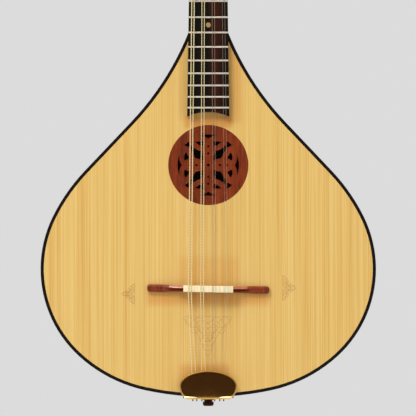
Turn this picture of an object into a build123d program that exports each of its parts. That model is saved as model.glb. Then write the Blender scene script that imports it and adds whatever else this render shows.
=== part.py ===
from build123d import *
import math
import os

# Flat-backed bouzouki, upright: +Z runs up the neck, the soundboard faces -Y, and the origin is
# on the end pin's axis where the pin meets the tail. Millimetres.

os.makedirs("parts", exist_ok=True)

# ---- Driving dimensions ----------------------------------------------------------------------
body_width = 360.4
body_depth = 85.0
scale_length = 654.0
fret_count = 21
bridge_z = 115.8

# Teardrop outline from the tail's middle: each arc's radius as a share of the width, and its turn,
# then a straight flank and a hollow throat that runs up to the neck
TEARDROP_ARCS = ((0.893, 12.1), (0.4257, 30.1), (0.3513, 74.0), (0.5535, 17.3))
flank_share = 0.1995
throat_share = 0.847
body_length = body_width * 1.085

# Sound box
soundboard_thickness = 2.8
back_thickness = 2.6
side_thickness = 2.2
binding_width = 3.5
binding_depth = 6.0
lining_width = 7.0
lining_depth = 14.0
glue_step = 0.5
block_width = 56.0
neck_block_length = 50.0
tail_block_length = 24.0
brace_width = 8.0
top_brace_height = 12.0
back_brace_height = 14.0

# Rose
rose_radius = 43.0
rose_gap = 9.0
rose_cut_round = 0.7
rose_dot_radius = 1.2
rose_eye_radius = 1.5
rose_dot_steps = (12.6, 20.1)
crescent_rim = 33.0
crescent_point = 28.3
crescent_halves = (10.5, 12.8)
crescent_bend = (0.44, 0.55)

# Neck, head and fretboard
nut_width = 32.0
board_taper = 0.0281
board_thickness = 6.5
board_overhang = 9.5
board_end_sag = 4.9
neck_depth = 15.0
heel_length = 14.0
heel_reach = 76.0
heel_back_width = 25.0
tenon_width = 18.0
tenon_length = 22.0
tenon_depth = 62.0
nut_length = 5.0
nut_height = 8.3
nut_lean = 0.3
head_angle = 14.0
head_length = 165.0
head_width = 62.0
head_thickness = 15.0
veneer_thickness = 2.0

# Frets and markers
fret_crown_width = 2.0
fret_crown_height = 1.1
fret_tang_width = 0.6
fret_tang_depth = 2.0
fret_inset = 0.2
dot_radius = 2.65
dot_depth = 1.5
dotted_frets = (5, 7, 10, 12, 15)

# Truss rod
rod_radius = 2.5
rod_depth = 7.5
rod_nut_radius = 3.3
rod_nut_length = 9.0
rod_pocket_radius = 4.2
rod_pocket_length = 17.0
rod_tail = 26.0

# Bridge and saddle: slim arms fall away from the saddle and widen into flat paddles
bridge_length = 131.0
bridge_tilt = 1.0
bridge_arm_depth = 6.6
bridge_height = 9.0
bridge_shoulder = 2.5
bridge_fall = 21.0
paddle_length = 19.0
paddle_depth = 8.0
paddle_height = 4.8
paddle_round = 2.8
saddle_length = 53.5
saddle_width = 7.0
saddle_top = 12.6
saddle_seat = 3.0

# Strings: courses of two, low to high
nut_course_pitch = 8.2
nut_pair_gap = 2.2
bridge_course_pitch = 13.2
bridge_pair_gap = 3.0
hook_course_pitch = 9.6
hook_pair_gap = 4.2
wound_radii = (0.53, 0.53, 0.40, 0.40)
plain_radii = (0.21, 0.21, 0.15, 0.15)
nut_string_height = 7.8
string_gap = 0.08
post_wrap_gap = 0.12
wrap_count = 3
wrap_sweep = 330.0
wrap_rise = 0.12

# Tailpiece
tail_plate_thickness = 1.0
tail_plate_width = 54.0
tail_plate_top = 22.0
tail_flange_width = 28.0
tail_flange_depth = 32.0
hook_z = -0.3
hook_width = 1.2
hook_thickness = 1.0
hook_height = 4.2
hook_tip_z = -4.4
hook_tip_thickness = 1.1
hook_string_height = 2.6
hook_loop_radius = 1.45
cover_width = 62.0
cover_top = 28.4
cover_waist = 11.8
cover_bottom = -2.2
cover_base_width = 46.0
cover_rim_height = 7.0
cover_crown_height = 12.0
cover_tuck = 2.6
cover_corner_round = 3.0
cover_wall = 0.9
cover_round = 1.8
cover_notch = 2.0
hinge_z = 0.5
hinge_height = 3.4
hinge_pin_radius = 0.9
hinge_knuckle_radius = 2.0
hinge_inner_x = 18.8
hinge_lug = 1.6
hinge_knuckle = 2.4
side_play = 0.15
hinge_play = 0.05

# End pin
pin_shank_radius = 4.0
pin_shank_length = 20.0
pin_collar_radius = 5.9
pin_collar_length = 4.4
pin_neck_radius = 4.4
pin_head_radius = 5.85
pin_head_length = 4.6
pin_reach = 10.7
pin_edge = 1.3

# Tuners
post_x = 20.0
first_post = 45.0
post_pitch = 25.0
post_radius = 3.0
post_height = 14.0
running_gap = 0.05
bushing_radius = 4.75
bushing_flange = 6.4
bushing_flange_height = 1.4
bushing_depth = 6.0
post_hole_radius = 4.0
tuner_plate_width = 17.0
tuner_plate_thickness = 1.0
tuner_plate_margin = 11.0
tuner_plate_tail = 8.0
plate_screw_lead = 9.0
plate_screw_middle = 15.2
plate_screw_tail = 16.5
gear_radius = 6.4
gear_thickness = 3.2
gear_teeth = 14
gear_lift = 1.4
gear_screw_radius = 1.7
gear_screw_height = 1.0
tooth_gap_radius = 0.75
string_hole_radius = 0.9
string_hole_drop = 3.5
worm_length = 9.0
button_round = 2.2
worm_radius = 2.6
worm_gap = 0.3
shaft_radius = 1.8
shaft_end_x = 47.0
shaft_start_gap = 3.4
lug_thickness = 1.2
lug_gap = 1.4
lug_rim = 1.2
button_start = 35.0
button_length = 15.0
button_width = 13.0
button_thickness = 8.4

# Small screws
screw_radius = 1.1
screw_length = 9.0
screw_head_radius = 2.1
screw_head_height = 1.2
cover_screw_length = 5.0
cover_plate_thickness = 1.6
cover_screw_places = ((-7.2, 5.0), (7.2, 5.0), (0.0, 30.5))

# ---- Derived places --------------------------------------------------------------------------
front_y = -body_depth / 2
back_y = body_depth / 2
nut_z = bridge_z + scale_length
head_z = nut_z + nut_length


def fret_z(number):
    """Height of a fret's crown, by the twelfth-root rule."""
    return nut_z - scale_length * (1 - 2 ** (-number / 12))


board_end_z = fret_z(fret_count) - board_overhang
rose_z = board_end_z - rose_gap - rose_radius


def board_width(z):
    """Width of the fretboard at a height."""
    return nut_width + (nut_z - z) * board_taper


head_lean = math.radians(head_angle)
HEAD = Plane(
    origin=(0, front_y, head_z),
    x_dir=(1, 0, 0),
    z_dir=(0, -math.cos(head_lean), math.sin(head_lean)),
)
bridge_lean = math.radians(bridge_tilt)
BRIDGE = Plane(
    origin=(0, front_y, bridge_z),
    x_dir=(math.cos(bridge_lean), 0, -math.sin(bridge_lean)),
    z_dir=(0, -1, 0),
)
post_rows = [first_post + post_pitch * i for i in range(4)]
plate_centre_u = first_post + post_pitch * 1.5 + tuner_plate_tail / 2
plate_length = post_pitch * 3 + 2 * tuner_plate_margin + tuner_plate_tail
plate_back = -head_thickness - tuner_plate_thickness
worm_offset = gear_radius + worm_radius + worm_gap
post_places = [(side * post_x, u) for side in (-1, 1) for u in post_rows]
plate_screw_rows = [
    first_post - plate_screw_lead,
    first_post + post_pitch + plate_screw_middle,
    first_post + 3 * post_pitch + plate_screw_tail,
]
plate_screw_places = [(side * post_x, u) for side in (-1, 1) for u in plate_screw_rows]
shaft_depth = plate_back - gear_lift - gear_thickness / 2


def front_plane(height):
    """A plane facing the front, at a height above the soundboard's face."""
    return Plane.XZ.offset(-front_y + height)


def teardrop(inset):
    """The body's outline as tangent arcs, moved inwards, and its half width at the shoulder."""
    place = Vector(0, inset)
    turned = 0
    edges = []
    for share, turn in TEARDROP_ARCS:
        heading = Vector(1, 0).rotate(Axis.Z, turned)
        arc = JernArc(place, heading, share * body_width - inset, turn)
        edges.append(arc)
        place = arc @ 1
        turned += turn
    heading = Vector(1, 0).rotate(Axis.Z, turned)
    flank = Line(place, place + heading * flank_share * body_width)
    radius = throat_share * body_width + inset
    drop = radius * math.cos(math.radians(180 - turned))
    rise = body_length - inset - (flank @ 1).Y
    end_turn = turned - math.degrees(math.acos((rise - drop) / radius))
    throat = JernArc(flank @ 1, heading, radius, -end_turn)
    half = Curve() + [*edges, flank, throat]
    shoulder = (throat @ 1).X
    top = Line((shoulder, body_length - inset), (-shoulder, body_length - inset))
    other = mirror(half, about=Plane.YZ)
    return make_face([*half.edges(), *top.edges(), *other.edges()]), shoulder


outer, shoulder_half = teardrop(0)
inside_side, _ = teardrop(side_thickness)
inside_binding, _ = teardrop(binding_width)
inside_lining, _ = teardrop(side_thickness + lining_width)
inside_brace, _ = teardrop(side_thickness + lining_width + glue_step)

top_inner = -soundboard_thickness
top_step = -binding_depth
back_inner = -(body_depth - back_thickness)
back_step = -(body_depth - binding_depth)


def save(part, name):
    """Label a finished sub-part and write it."""
    part.part.label = name
    export_step(part.part, f"parts/{name}.step")


def slab(face, upper, lower, mode=Mode.ADD):
    """Extrude a front-facing outline between two heights above the soundboard's face."""
    with BuildSketch(front_plane(upper)) as sketch:
        add(face)
    extrude(sketch.sketch, amount=lower - upper, mode=mode)


def tenon(amount, mode=Mode.ADD):
    """The neck's tenon, or its socket, running up from inside the neck block."""
    with BuildSketch(Plane.XY.offset(body_length - tenon_length)) as section:
        with Locations((0, front_y + (binding_depth + tenon_depth) / 2)):
            Rectangle(tenon_width, tenon_depth - binding_depth)
    extrude(section.sketch, amount=amount, mode=mode)


def screw(plane, places, length):
    """Pan-headed screws whose heads stand on a plane and whose shanks go in behind it."""
    with BuildSketch(plane) as heads:
        with Locations(*places):
            Circle(screw_head_radius)
    extrude(heads.sketch, amount=screw_head_height)
    with BuildSketch(plane) as shanks:
        with Locations(*places):
            Circle(screw_radius)
    extrude(shanks.sketch, amount=-length)


def bore(plane, places, radius, amount):
    """Cut round holes of one radius from a plane."""
    with BuildSketch(plane) as holes:
        with Locations(*places):
            Circle(radius)
    extrude(holes.sketch, amount=amount, mode=Mode.SUBTRACT)


# ---- Sound box -------------------------------------------------------------------------------
with BuildPart() as soundboard:
    slab(inside_binding, 0, top_inner)
    with BuildSketch(front_plane(0)):
        with Locations((0, rose_z)):
            Circle(rose_radius)
    extrude(amount=-soundboard_thickness, mode=Mode.SUBTRACT)
save(soundboard, "soundboard")

# Pierced openings of one quarter of the rose, about its centre, before mirroring
QUARTER_CUTS = [
    [(5.2, 25.4), (14.6, 25.1), (9.6, 21.2), (6.0, 20.4)],
    [(24.2, 14.0), (20.1, 7.4), (25.7, 4.7), (26.0, 9.6)],
    [(19.9, 25.8), (25.6, 21.6), (20.4, 18.3), (19.2, 22.0)],
    [
        (5.7, 3.6), (7.8, 6.1), (13.4, 7.2), (15.4, 10.0), (16.2, 12.8), (18.6, 15.6), (18.9, 18.6),
        (17.8, 21.8), (15.2, 18.2), (11.8, 16.2), (7.3, 14.6), (6.1, 10.0),
    ],
]


def rose_plane(turn):
    """A front-facing plane on the rose's middle, turned about it."""
    angle = math.radians(turn)
    return Plane((0, front_y, rose_z), x_dir=(math.cos(angle), 0, math.sin(angle)), z_dir=(0, -1, 0))


with BuildPart() as rose:
    with BuildSketch(rose_plane(0)):
        Circle(rose_radius)
    extrude(amount=-soundboard_thickness)
    for side_x, side_z in ((1, 1), (-1, 1), (-1, -1), (1, -1)):
        for points in QUARTER_CUTS:
            with BuildSketch(rose_plane(0)) as cut:
                with BuildLine():
                    Polyline(*[(side_x * x, side_z * z) for x, z in points], close=True)
                make_face()
                fillet(cut.vertices(), radius=rose_cut_round)
            extrude(amount=-soundboard_thickness, mode=Mode.SUBTRACT)
    for turn, half in zip((0, 90, 180, 270), crescent_halves * 2):
        tip = math.sqrt(crescent_rim**2 - half**2)
        depth = crescent_rim - crescent_point
        bend = (half * crescent_bend[0], crescent_point + depth * crescent_bend[1])
        with BuildSketch(rose_plane(turn)):
            with BuildLine():
                rim = ThreePointArc((-half, tip), (0, crescent_rim), (half, tip))
                ThreePointArc(rim @ 1, bend, (0, crescent_point))
                ThreePointArc((0, crescent_point), (-bend[0], bend[1]), rim @ 0)
            make_face()
        extrude(amount=-soundboard_thickness, mode=Mode.SUBTRACT)
        dots = [(0, step) for step in rose_dot_steps]
        bore(rose_plane(turn), dots, rose_dot_radius, -soundboard_thickness)
    bore(rose_plane(0), [(0, 0)], rose_eye_radius, -soundboard_thickness)
save(rose, "rose")

with BuildPart() as back_plate:
    slab(inside_binding, back_inner, -body_depth)
save(back_plate, "back_plate")

for name, upper, lower in (
    ("top_binding", 0, top_step),
    ("back_binding", back_step, -body_depth),
):
    with BuildPart() as binding:
        slab(outer, upper, lower)
        slab(inside_binding, upper, lower, Mode.SUBTRACT)
    save(binding, name)

tail_screw_places = [(-8.0, front_y + 18.0), (8.0, front_y + 18.0)]
for name, sign in (("side_bass", -1), ("side_treble", 1)):
    with BuildPart() as side:
        slab(outer, top_step, back_step)
        slab(inside_side, top_step, back_step, Mode.SUBTRACT)
        with BuildSketch(Plane.XY.offset(-1)):
            with Locations((-sign * body_width, 0)):
                Rectangle(body_width * 2, body_depth)
        extrude(amount=body_length + 2, mode=Mode.SUBTRACT)
        tenon(tenon_length, Mode.SUBTRACT)
        bore(Plane.XY, [(0, 0)], pin_shank_radius, pin_shank_length)
        bore(Plane.XY, tail_screw_places, screw_radius, screw_length)
    save(side, name)

for name, low_z, length in (
    ("tail_block", 0, tail_block_length),
    ("neck_block", body_length - neck_block_length, neck_block_length),
):
    with BuildPart() as block:
        slab(inside_binding, top_inner, top_step)
        slab(inside_side, top_step, back_step)
        slab(inside_binding, back_step, back_inner)
        with BuildSketch(Plane.XY.offset(low_z)):
            Rectangle(block_width, body_depth)
        extrude(amount=length, mode=Mode.INTERSECT)
        if name == "tail_block":
            bore(Plane.XY, [(0, 0)], pin_shank_radius, pin_shank_length)
            bore(Plane.XY, tail_screw_places, screw_radius, screw_length)
        else:
            tenon(tenon_length, Mode.SUBTRACT)
    save(block, name)

for name, outer_level, step_level, inner_level in (
    ("top_linings", top_inner, top_step, top_step - lining_depth),
    ("back_linings", back_inner, back_step, back_step + lining_depth),
):
    with BuildPart() as lining:
        slab(inside_binding, outer_level, step_level)
        slab(inside_side, step_level, inner_level)
        slab(inside_lining, outer_level, inner_level, Mode.SUBTRACT)
        with BuildSketch(Plane.XY.offset(-1)):
            Rectangle(block_width, body_depth)
        extrude(amount=body_length + 2, mode=Mode.SUBTRACT)
    save(lining, name)

# Braces: middle (x, z), length and turn of each bar
top_bars = [
    (0, rose_z + rose_radius + 12, body_width, 0),
    (0, rose_z - rose_radius - 14, body_width, 0),
    (-rose_radius - 12, rose_z, 2 * rose_radius + 18, 90),
    (rose_radius + 12, rose_z, 2 * rose_radius + 18, 90),
    (0, bridge_z, body_width * 0.62, 24),
    (0, bridge_z, body_width * 0.62, -24),
]
back_bars = [(0, body_length * share, body_width, 0) for share in (0.16, 0.36, 0.56, 0.74)]
for name, bars, level, height, width in (
    ("top_braces", top_bars, top_inner, -top_brace_height, brace_width),
    ("back_braces", back_bars, back_inner, back_brace_height, brace_width + 2),
):
    with BuildPart() as braces:
        with BuildSketch(front_plane(level)):
            for x, z, length, turn in bars:
                with Locations(Location((x, z), turn)):
                    Rectangle(length, width)
            add(inside_brace, mode=Mode.INTERSECT)
            with Locations((0, tail_block_length / 2)):
                Rectangle(block_width, tail_block_length, mode=Mode.SUBTRACT)
            with Locations((0, body_length - neck_block_length / 2)):
                Rectangle(block_width, neck_block_length, mode=Mode.SUBTRACT)
        extrude(amount=height)
    save(braces, name)

# ---- Bridge and saddle -----------------------------------------------------------------------
# The bridge's outline is four quarters, and its side view is cut away under the saddle
bridge_half = bridge_length / 2
QUARTER_BRIDGE = [
    (bridge_half - 2 * paddle_length, bridge_arm_depth / 2),
    (bridge_half - paddle_length, paddle_depth / 2),
    (bridge_half, paddle_depth / 2),
]
shoulder_x = saddle_length / 2 + bridge_shoulder
HALF_PROFILE = [
    (saddle_length / 2, bridge_height - saddle_seat),
    (saddle_length / 2, bridge_height),
    (shoulder_x, bridge_height),
    (shoulder_x + bridge_fall, paddle_height),
    (bridge_half + paddle_round, paddle_height),
    (bridge_half + paddle_round, 0),
]

with BuildPart() as bridge:
    with BuildSketch(BRIDGE) as stick:
        upper = [*QUARTER_BRIDGE, *[(x, -y) for x, y in reversed(QUARTER_BRIDGE)]]
        with BuildLine():
            Polyline(*upper, *[(-x, -y) for x, y in upper], close=True)
        make_face()
        fillet(stick.vertices().group_by(Axis.X)[0], radius=paddle_round)
        fillet(stick.vertices().group_by(Axis.X)[-1], radius=paddle_round)
    extrude(amount=bridge_height)
    with BuildSketch(Plane(BRIDGE.origin, x_dir=BRIDGE.x_dir, z_dir=-BRIDGE.y_dir)):
        with BuildLine():
            Polyline(*[(-x, y) for x, y in reversed(HALF_PROFILE)], *HALF_PROFILE, close=True)
        make_face()
    extrude(amount=paddle_depth, both=True, mode=Mode.INTERSECT)
save(bridge, "bridge")

with BuildPart() as saddle:
    with BuildSketch(BRIDGE.offset(bridge_height - saddle_seat)):
        Rectangle(saddle_length, saddle_width)
    extrude(amount=saddle_seat + saddle_top - bridge_height)
save(saddle, "saddle")

# ---- Neck ------------------------------------------------------------------------------------
heel_z = body_length


def neck_section(z):
    """The neck's section: flat under the fretboard and round behind."""
    with BuildSketch(Plane.XY.offset(z)) as section:
        with BuildLine():
            arc = EllipticalCenterArc((0, front_y), board_width(z) / 2, neck_depth, 0, arc_size=180)
            Line(arc @ 1, arc @ 0)
        make_face()
    return section.sketch


def head_outline():
    """The head's outline on its own plane."""
    with BuildSketch(HEAD) as outline:
        with BuildLine() as edge:
            flare = Spline(
                (nut_width / 2, 0),
                (head_width / 2 - 1.5, first_post - 14),
                tangents=[(0, 1), (0, 1)],
            )
            cheek = Line(flare @ 1, (head_width / 2, head_length - 22))
            scoop = ThreePointArc(cheek @ 1, (head_width / 2 - 9, head_length - 15), (12, head_length - 6))
            ThreePointArc(scoop @ 1, (6.5, head_length - 1.5), (0, head_length))
            mirror(edge.line, about=Plane.YZ)
            Line((nut_width / 2, 0), (-nut_width / 2, 0))
        make_face()
    return outline.sketch


head_shape = head_outline()
rod_y = front_y + rod_depth
rod_low_z = body_length + rod_tail
rod_nut_z = head_z + 6.0

with BuildPart() as neck:
    with BuildSketch(Plane.YZ):
        with BuildLine():
            heel_curve = Bezier(
                (back_y, heel_z + heel_length),
                (back_y - 34, heel_z + heel_length + 2),
                (front_y + neck_depth + 3, heel_z + 26),
                (front_y + neck_depth - 1, heel_z + heel_reach),
            )
            Polyline(
                heel_curve @ 1,
                (front_y, heel_z + heel_reach),
                (front_y, heel_z),
                (back_y, heel_z),
                heel_curve @ 0,
            )
        make_face()
    extrude(amount=shoulder_half, both=True)
    with BuildSketch(Plane.XY.offset(heel_z)) as heel_section:
        with BuildLine():
            Polyline(
                (-shoulder_half, front_y),
                (shoulder_half, front_y),
                (heel_back_width / 2, back_y),
                (-heel_back_width / 2, back_y),
                close=True,
            )
        make_face()
        fillet(heel_section.vertices().group_by(Axis.Y)[-1], radius=7)
    with BuildSketch(Plane.XY.offset(heel_z + heel_reach)) as heel_top:
        with BuildLine():
            Polyline(
                (-board_width(heel_z + heel_reach) / 2, front_y),
                (board_width(heel_z + heel_reach) / 2, front_y),
                (heel_back_width / 2 - 1, back_y),
                (1 - heel_back_width / 2, back_y),
                close=True,
            )
        make_face()
        fillet(heel_top.vertices().group_by(Axis.Y)[-1], radius=7)
    loft(mode=Mode.INTERSECT)
    loft([neck_section(heel_z), neck_section(head_z)])
    tenon(tenon_length)
    extrude(head_shape, amount=-head_thickness)
    bore(HEAD, post_places, post_hole_radius, -head_thickness)
    bore(HEAD, post_places, bushing_radius, veneer_thickness - bushing_depth)
    bore(HEAD.offset(-head_thickness), plate_screw_places, screw_radius, screw_length)
    bore(Plane.XY.offset(rod_low_z), [(0, rod_y)], rod_radius, rod_nut_z - rod_low_z)
    cover_hole_depth = cover_screw_length - cover_plate_thickness - veneer_thickness
    bore(HEAD, cover_screw_places, screw_radius, -cover_hole_depth)
    with BuildSketch(Plane.XY.offset(rod_nut_z - 1)):
        with Locations((0, rod_y)):
            Circle(rod_pocket_radius)
        with Locations((0, rod_y - 10)):
            Rectangle(2 * rod_pocket_radius, 20)
    extrude(amount=rod_pocket_length, mode=Mode.SUBTRACT)
save(neck, "neck")

with BuildPart() as head_veneer:
    extrude(head_shape, amount=veneer_thickness)
    bore(HEAD, post_places, bushing_radius, veneer_thickness)
    bore(HEAD, cover_screw_places, screw_radius, veneer_thickness)
    with BuildSketch(HEAD):
        with Locations((0, 14.0)):
            SlotOverall(2 * rod_pocket_length - 8, 2 * rod_pocket_radius, rotation=90)
    extrude(amount=veneer_thickness, mode=Mode.SUBTRACT)
save(head_veneer, "head_veneer")

with BuildPart() as fretboard:
    with BuildSketch(front_plane(0)):
        with BuildLine():
            low_half = board_width(board_end_z) / 2
            sag = (0, board_end_z + board_end_sag)
            ThreePointArc((-low_half, board_end_z), sag, (low_half, board_end_z))
            Polyline(
                (low_half, board_end_z),
                (nut_width / 2, nut_z),
                (-nut_width / 2, nut_z),
                (-low_half, board_end_z),
            )
        make_face()
    extrude(amount=board_thickness)
    with BuildSketch(front_plane(board_thickness)):
        with Locations(*[(0, fret_z(n)) for n in range(1, fret_count + 1)]):
            Rectangle(nut_width * 2, fret_tang_width)
    extrude(amount=-fret_tang_depth, mode=Mode.SUBTRACT)
    with BuildSketch(front_plane(board_thickness)):
        for number in dotted_frets:
            middle = (fret_z(number) + fret_z(number - 1)) / 2
            places = [(-7.0, middle), (7.0, middle)] if number == 12 else [(0, middle)]
            with Locations(*places):
                Circle(dot_radius)
    extrude(amount=-dot_depth, mode=Mode.SUBTRACT)
save(fretboard, "fretboard")

with BuildPart() as position_dots:
    with BuildSketch(front_plane(board_thickness)):
        for number in dotted_frets:
            middle = (fret_z(number) + fret_z(number - 1)) / 2
            places = [(-7.0, middle), (7.0, middle)] if number == 12 else [(0, middle)]
            with Locations(*places):
                Circle(dot_radius)
    extrude(amount=-dot_depth)
save(position_dots, "position_dots")

with BuildPart() as frets:
    for number in range(1, fret_count + 1):
        z = fret_z(number)
        crown_y = front_y - board_thickness
        with BuildSketch(Plane.YZ):
            with BuildLine():
                ThreePointArc(
                    (crown_y, z - fret_crown_width / 2),
                    (crown_y - fret_crown_height, z),
                    (crown_y, z + fret_crown_width / 2),
                )
                Polyline(
                    (crown_y, z + fret_crown_width / 2),
                    (crown_y, z + fret_tang_width / 2),
                    (crown_y + fret_tang_depth, z + fret_tang_width / 2),
                    (crown_y + fret_tang_depth, z - fret_tang_width / 2),
                    (crown_y, z - fret_tang_width / 2),
                    (crown_y, z - fret_crown_width / 2),
                )
            make_face()
        extrude(amount=board_width(z) / 2 - fret_inset, both=True)
save(frets, "frets")


def course_places(course_pitch, pair_gap):
    """Across the strings, one place per string, from low to high."""
    middles = [course_pitch * step for step in (-1.5, -0.5, 0.5, 1.5)]
    return [middle + side * pair_gap / 2 for middle in middles for side in (-1, 1)]


string_radii = wound_radii + plain_radii
nut_places = course_places(nut_course_pitch, nut_pair_gap)
bridge_places = course_places(bridge_course_pitch, bridge_pair_gap)
hook_places = course_places(hook_course_pitch, hook_pair_gap)

with BuildPart() as nut:
    with BuildSketch(Plane.XY.offset(nut_z)):
        with Locations((0, front_y - nut_height / 2)):
            Rectangle(nut_width, nut_height)
    extrude(amount=nut_length)
    for x, radius in zip(nut_places, string_radii):
        with BuildSketch(Plane.XY.offset(nut_z)):
            with Locations((x, front_y - (nut_height + nut_string_height - string_gap) / 2)):
                Rectangle(2 * (radius + string_gap), nut_height - nut_string_height + string_gap)
        extrude(amount=nut_length, mode=Mode.SUBTRACT)
save(nut, "nut")

with BuildPart() as truss_rod:
    with BuildSketch(Plane.XY.offset(rod_low_z)):
        with Locations((0, rod_y)):
            Circle(rod_radius)
    extrude(amount=rod_nut_z + rod_nut_length - 2 - rod_low_z)
save(truss_rod, "truss_rod")

with BuildPart() as truss_rod_nut:
    with BuildSketch(Plane.XY.offset(rod_nut_z)):
        with Locations((0, rod_y)):
            RegularPolygon(rod_nut_radius, 6)
            Circle(rod_radius + running_gap, mode=Mode.SUBTRACT)
    extrude(amount=rod_nut_length)
save(truss_rod_nut, "truss_rod_nut")

with BuildPart() as truss_rod_cover:
    with BuildSketch(HEAD.offset(veneer_thickness)) as bell:
        with BuildLine() as edge:
            low = Line((0, 2.5), (10, 2.5))
            rise = Line(low @ 1, (10, 8))
            Spline(rise @ 1, (6.0, 20), (0, 34), tangents=[(0, 1), (-1, 0)])
            mirror(edge.line, about=Plane.YZ)
        make_face()
    extrude(amount=cover_plate_thickness)
    bore(HEAD.offset(veneer_thickness), cover_screw_places, screw_radius, cover_plate_thickness)
save(truss_rod_cover, "truss_rod_cover")

with BuildPart() as truss_cover_screws:
    screw(HEAD.offset(veneer_thickness + cover_plate_thickness), cover_screw_places, cover_screw_length)
save(truss_cover_screws, "truss_cover_screws")

# ---- Tuners ----------------------------------------------------------------------------------
# Worm shafts cross the back of the head, each one gear and a gap above its post
shaft_rows = [u + worm_offset for u in post_rows]
lug_places = (post_x - gear_radius - lug_gap, post_x + gear_radius + lug_gap)
lug_height = plate_back - shaft_depth + shaft_radius + lug_rim



def shaft_plane(side, start_x, row):
    """A plane across a worm shaft, facing out to one side of the head."""
    place = HEAD.from_local_coords((side * start_x, row, shaft_depth))
    return Plane(place, x_dir=HEAD.y_dir, z_dir=(side, 0, 0))


for name, side in (("tuner_plate_bass", -1), ("tuner_plate_treble", 1)):
    with BuildPart() as tuner_plate:
        with BuildSketch(HEAD.offset(-head_thickness)) as blank:
            with Locations((side * post_x, plate_centre_u)):
                RectangleRounded(tuner_plate_width, plate_length, 4)
        extrude(amount=-tuner_plate_thickness)
        with BuildSketch(HEAD.offset(plate_back)):
            for u in shaft_rows:
                with Locations(*[(side * x, u) for x in lug_places]):
                    Rectangle(lug_thickness, 2 * (shaft_radius + lug_rim))
        extrude(amount=-lug_height)
        for u in shaft_rows:
            bore(shaft_plane(side, 0, u), [(0, 0)], shaft_radius + running_gap, head_width / 2)
        bore(HEAD.offset(-head_thickness), post_places, post_radius + running_gap, -tuner_plate_thickness)
        bore(HEAD.offset(-head_thickness), plate_screw_places, screw_radius, -tuner_plate_thickness)
    save(tuner_plate, name)

with BuildPart() as tuner_plate_screws:
    back_face = Plane(HEAD.offset(plate_back).origin, x_dir=HEAD.x_dir, z_dir=-HEAD.z_dir)
    screw(back_face, [(x, -u) for x, u in plate_screw_places], screw_length)
save(tuner_plate_screws, "tuner_plate_screws")

with BuildPart() as tuner_bushings:
    with BuildSketch(HEAD.offset(veneer_thickness)) as flanges:
        with Locations(*post_places):
            RegularPolygon(bushing_flange, 6)
    extrude(amount=bushing_flange_height)
    with BuildSketch(HEAD.offset(veneer_thickness)):
        with Locations(*post_places):
            Circle(bushing_radius)
    extrude(amount=-bushing_depth)
    flange_face = HEAD.offset(veneer_thickness + bushing_flange_height)
    bushing_length = bushing_flange_height + bushing_depth
    bore(flange_face, post_places, post_radius + running_gap, -bushing_length)
save(tuner_bushings, "tuner_bushings")

gear_top = plate_back - gear_lift
post_top = veneer_thickness + post_height
string_hole_height = post_top - string_hole_drop
shaft_start = post_x - gear_radius - shaft_start_gap
tooth_step = 360 / gear_teeth

for index, (x, u) in enumerate(post_places, start=1):
    side = 1 if x > 0 else -1
    with BuildPart() as tuner_post:
        with BuildSketch(HEAD.offset(gear_top - gear_thickness)):
            with Locations((x, u)):
                Circle(post_radius)
        extrude(amount=post_top - gear_top + gear_thickness)
        with BuildSketch(HEAD.offset(gear_top)):
            with Locations((x, u)):
                Circle(gear_radius)
                with PolarLocations(gear_radius, gear_teeth, start_angle=90 + tooth_step / 2):
                    Circle(tooth_gap_radius, mode=Mode.SUBTRACT)
        extrude(amount=-gear_thickness)
        with BuildSketch(HEAD.offset(gear_top - gear_thickness)):
            with Locations((x, u)):
                Circle(gear_screw_radius)
        extrude(amount=-gear_screw_height)
        hole_middle = HEAD.from_local_coords((x, u, string_hole_height))
        for direction in (HEAD.x_dir, -HEAD.x_dir):
            across = Plane(hole_middle, x_dir=HEAD.y_dir, z_dir=direction)
            bore(across, [(0, 0)], string_hole_radius, 2 * post_radius)
    save(tuner_post, f"tuner_post_{index}")

    with BuildPart() as worm_shaft:
        with BuildSketch(shaft_plane(side, shaft_start, u + worm_offset)):
            Circle(shaft_radius)
        extrude(amount=shaft_end_x - shaft_start)
        with BuildSketch(shaft_plane(side, post_x - worm_length / 2, u + worm_offset)):
            Circle(worm_radius)
        extrude(amount=worm_length)
    save(worm_shaft, f"worm_shaft_{index}")

    button_plane = shaft_plane(side, button_start, u + worm_offset)
    with BuildPart() as button:
        with BuildSketch(button_plane):
            Ellipse(button_width / 2, button_thickness / 2)
        extrude(amount=button_length)
        fillet(button.edges().group_by(Axis.X)[0 if side < 0 else -1], radius=button_round)
        bore(button_plane, [(0, 0)], shaft_radius, shaft_end_x - button_start)
    save(button, f"button_{index}")

# ---- Tailpiece and end pin -------------------------------------------------------------------
hinge_y = front_y - hinge_height
knuckle_x = hinge_inner_x + hinge_lug + side_play + hinge_knuckle / 2
lug_pitch = hinge_lug + 2 * side_play + hinge_knuckle
lug_middles = (hinge_inner_x + hinge_lug / 2, hinge_inner_x + hinge_lug / 2 + lug_pitch)
hinge_end_x = hinge_inner_x + 2 * hinge_lug + 2 * side_play + hinge_knuckle


def hinge_bore(radius):
    """Cut the hinge's pin holes through whatever stands on its axis."""
    with BuildSketch(Plane.YZ.offset(-hinge_end_x)) as hole:
        with Locations((hinge_y, hinge_z)):
            Circle(radius)
    extrude(hole.sketch, amount=2 * hinge_end_x, mode=Mode.SUBTRACT)


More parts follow.
